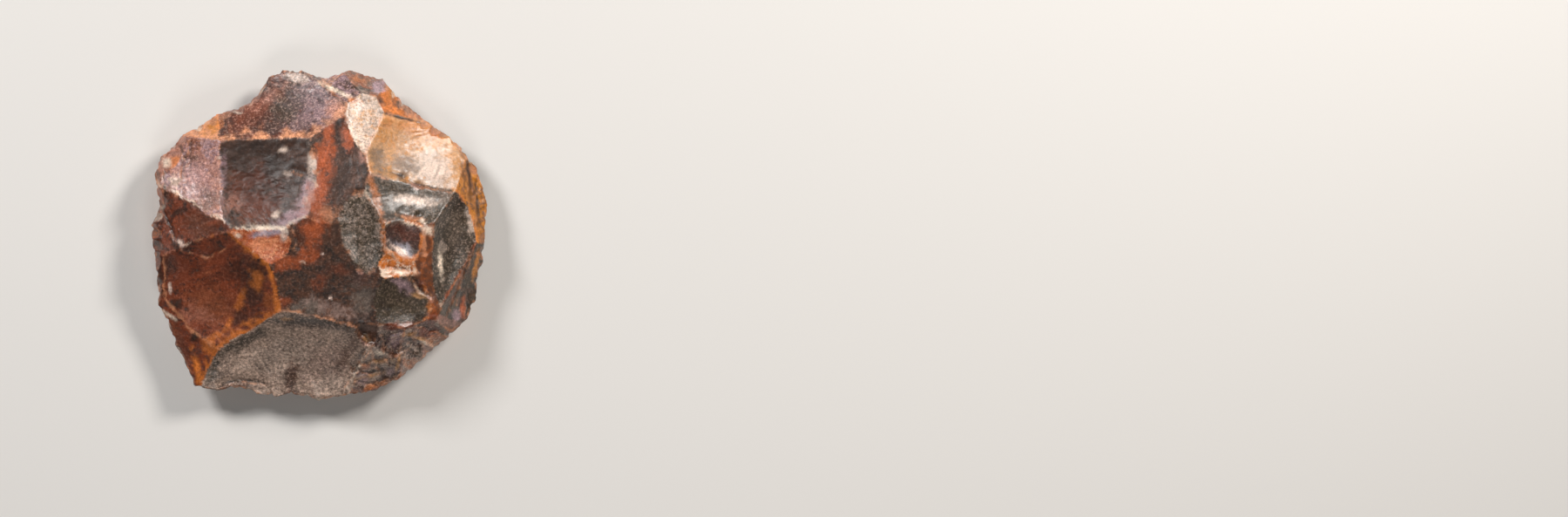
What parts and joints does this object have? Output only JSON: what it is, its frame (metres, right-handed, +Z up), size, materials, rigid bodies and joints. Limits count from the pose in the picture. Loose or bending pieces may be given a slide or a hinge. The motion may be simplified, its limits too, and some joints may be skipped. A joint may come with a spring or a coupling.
{
  "type": "stone core",
  "caption": "Struck flint core of the prepared kind: domed side covered in flake scars, flat side left by the broad last flake, sharp rim all round.",
  "frame": {"origin": "on the ground, under the middle of the core's box", "axes": "+Z up, the domed side upward and the flat side on the ground; +Y towards the head of the core, where the edge stands out most"},
  "size_m": [0.0962, 0.0946, 0.028],
  "materials": {
    "flint": "waxy stone with patina, partly glossy"
  },
  "bodies": {
    "root": {"stone_core": "flint"}
  },
  "joints": []
}
